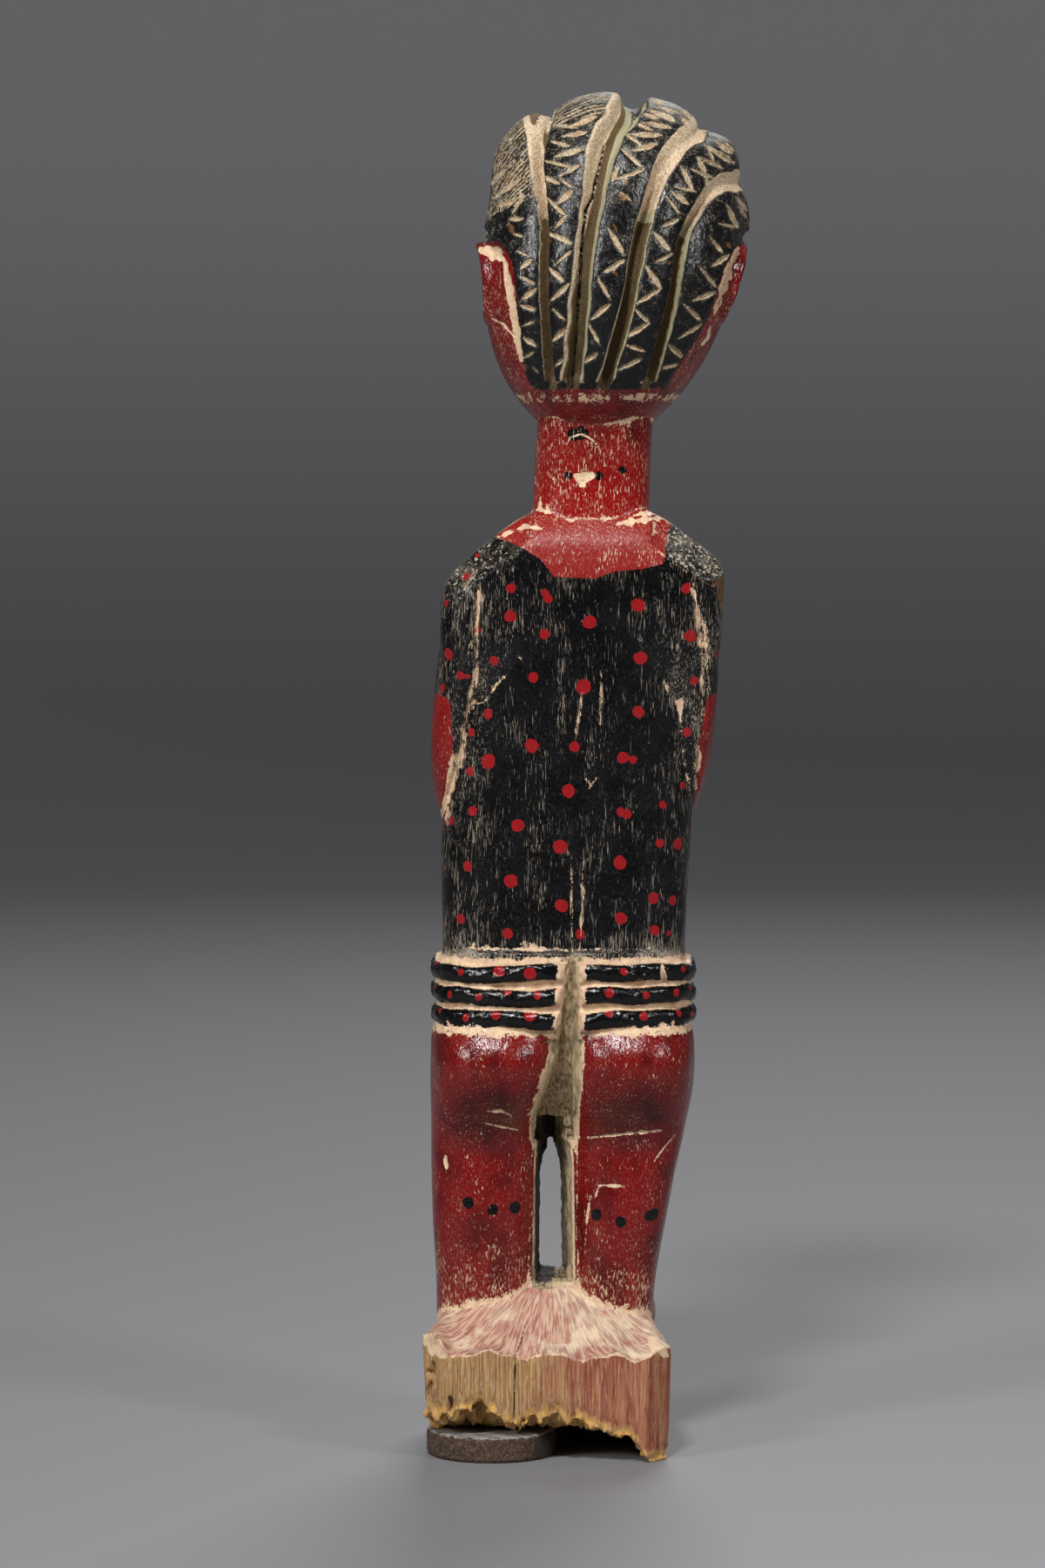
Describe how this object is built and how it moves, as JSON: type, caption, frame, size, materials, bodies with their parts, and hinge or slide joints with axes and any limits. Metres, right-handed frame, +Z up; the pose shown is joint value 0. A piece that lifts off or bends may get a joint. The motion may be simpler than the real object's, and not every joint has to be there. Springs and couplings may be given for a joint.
{
  "type": "baule figure",
  "caption": "Carved and painted wooden figure of a person standing on a block base, with grooved hair, a spotted shirt and waist beads, levelled by a loose disc.",
  "frame": {"origin": "middle of the bounding box, on the ground under the figure", "axes": "+Z up; the face looks towards -Y, so the grooved hair and the flat back look towards +Y; +X is towards the figure's own left hand"},
  "size_m": [0.107, 0.0904, 0.4501],
  "materials": {
    "painted_wood": "carved wood in glossy red and black paint, worn, with pale dirt in the cuts",
    "disc": "dark brown granular compound with a scuffed top"
  },
  "bodies": {
    "root": {"figure": "painted_wood", "levelling_disc": "disc"}
  },
  "joints": []
}
